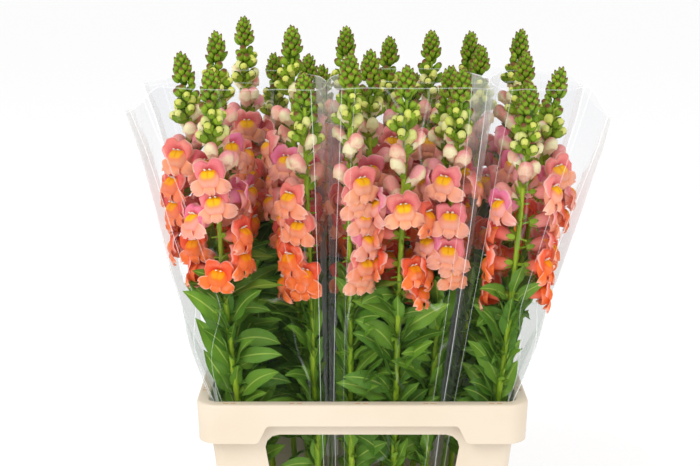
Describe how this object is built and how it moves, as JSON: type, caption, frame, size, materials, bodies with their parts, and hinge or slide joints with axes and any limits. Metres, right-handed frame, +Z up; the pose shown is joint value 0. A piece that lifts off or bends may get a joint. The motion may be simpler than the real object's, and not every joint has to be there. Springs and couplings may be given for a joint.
{
  "type": "crate of cut snapdragon stems",
  "caption": "Long cut snapdragon stems in bloom, held upright in clear film sleeves in a cream plastic flower crate with water and hand windows.",
  "frame": {"origin": "middle of the crate's base, on the surface it stands on", "axes": "+Z up along the stems, -Y towards the front with the long window, +X to the right seen from the front"},
  "size_m": [0.55, 0.4, 0.785],
  "materials": {
    "crate_plastic": "satin",
    "water": "gloss",
    "film": "gloss",
    "snapdragon": "matte"
  },
  "bodies": {
    "root": {"bucket": "crate_plastic", "collar_rim": "crate_plastic", "collar_band": "crate_plastic", "collar_post_front_left": "crate_plastic", "collar_post_front_right": "crate_plastic", "collar_post_back_left": "crate_plastic", "collar_post_back_right": "crate_plastic", "water": "water", "sleeve_front_left": "film", "sleeve_front_middle": "film", "sleeve_front_right": "film", "sleeve_back_left": "film", "sleeve_back_right": "film", "stem_01": "snapdragon", "stem_02": "snapdragon", "stem_03": "snapdragon", "stem_04": "snapdragon", "stem_05": "snapdragon", "stem_06": "snapdragon", "stem_07": "snapdragon", "stem_08": "snapdragon", "stem_09": "snapdragon", "stem_10": "snapdragon", "stem_11": "snapdragon", "stem_12": "snapdragon", "stem_13": "snapdragon", "stem_14": "snapdragon", "stem_15": "snapdragon", "stem_16": "snapdragon", "stem_17": "snapdragon", "stem_18": "snapdragon", "stem_19": "snapdragon", "stem_20": "snapdragon", "stem_21": "snapdragon", "stem_22": "snapdragon", "stem_23": "snapdragon", "stem_24": "snapdragon", "stem_25": "snapdragon"}
  },
  "joints": []
}
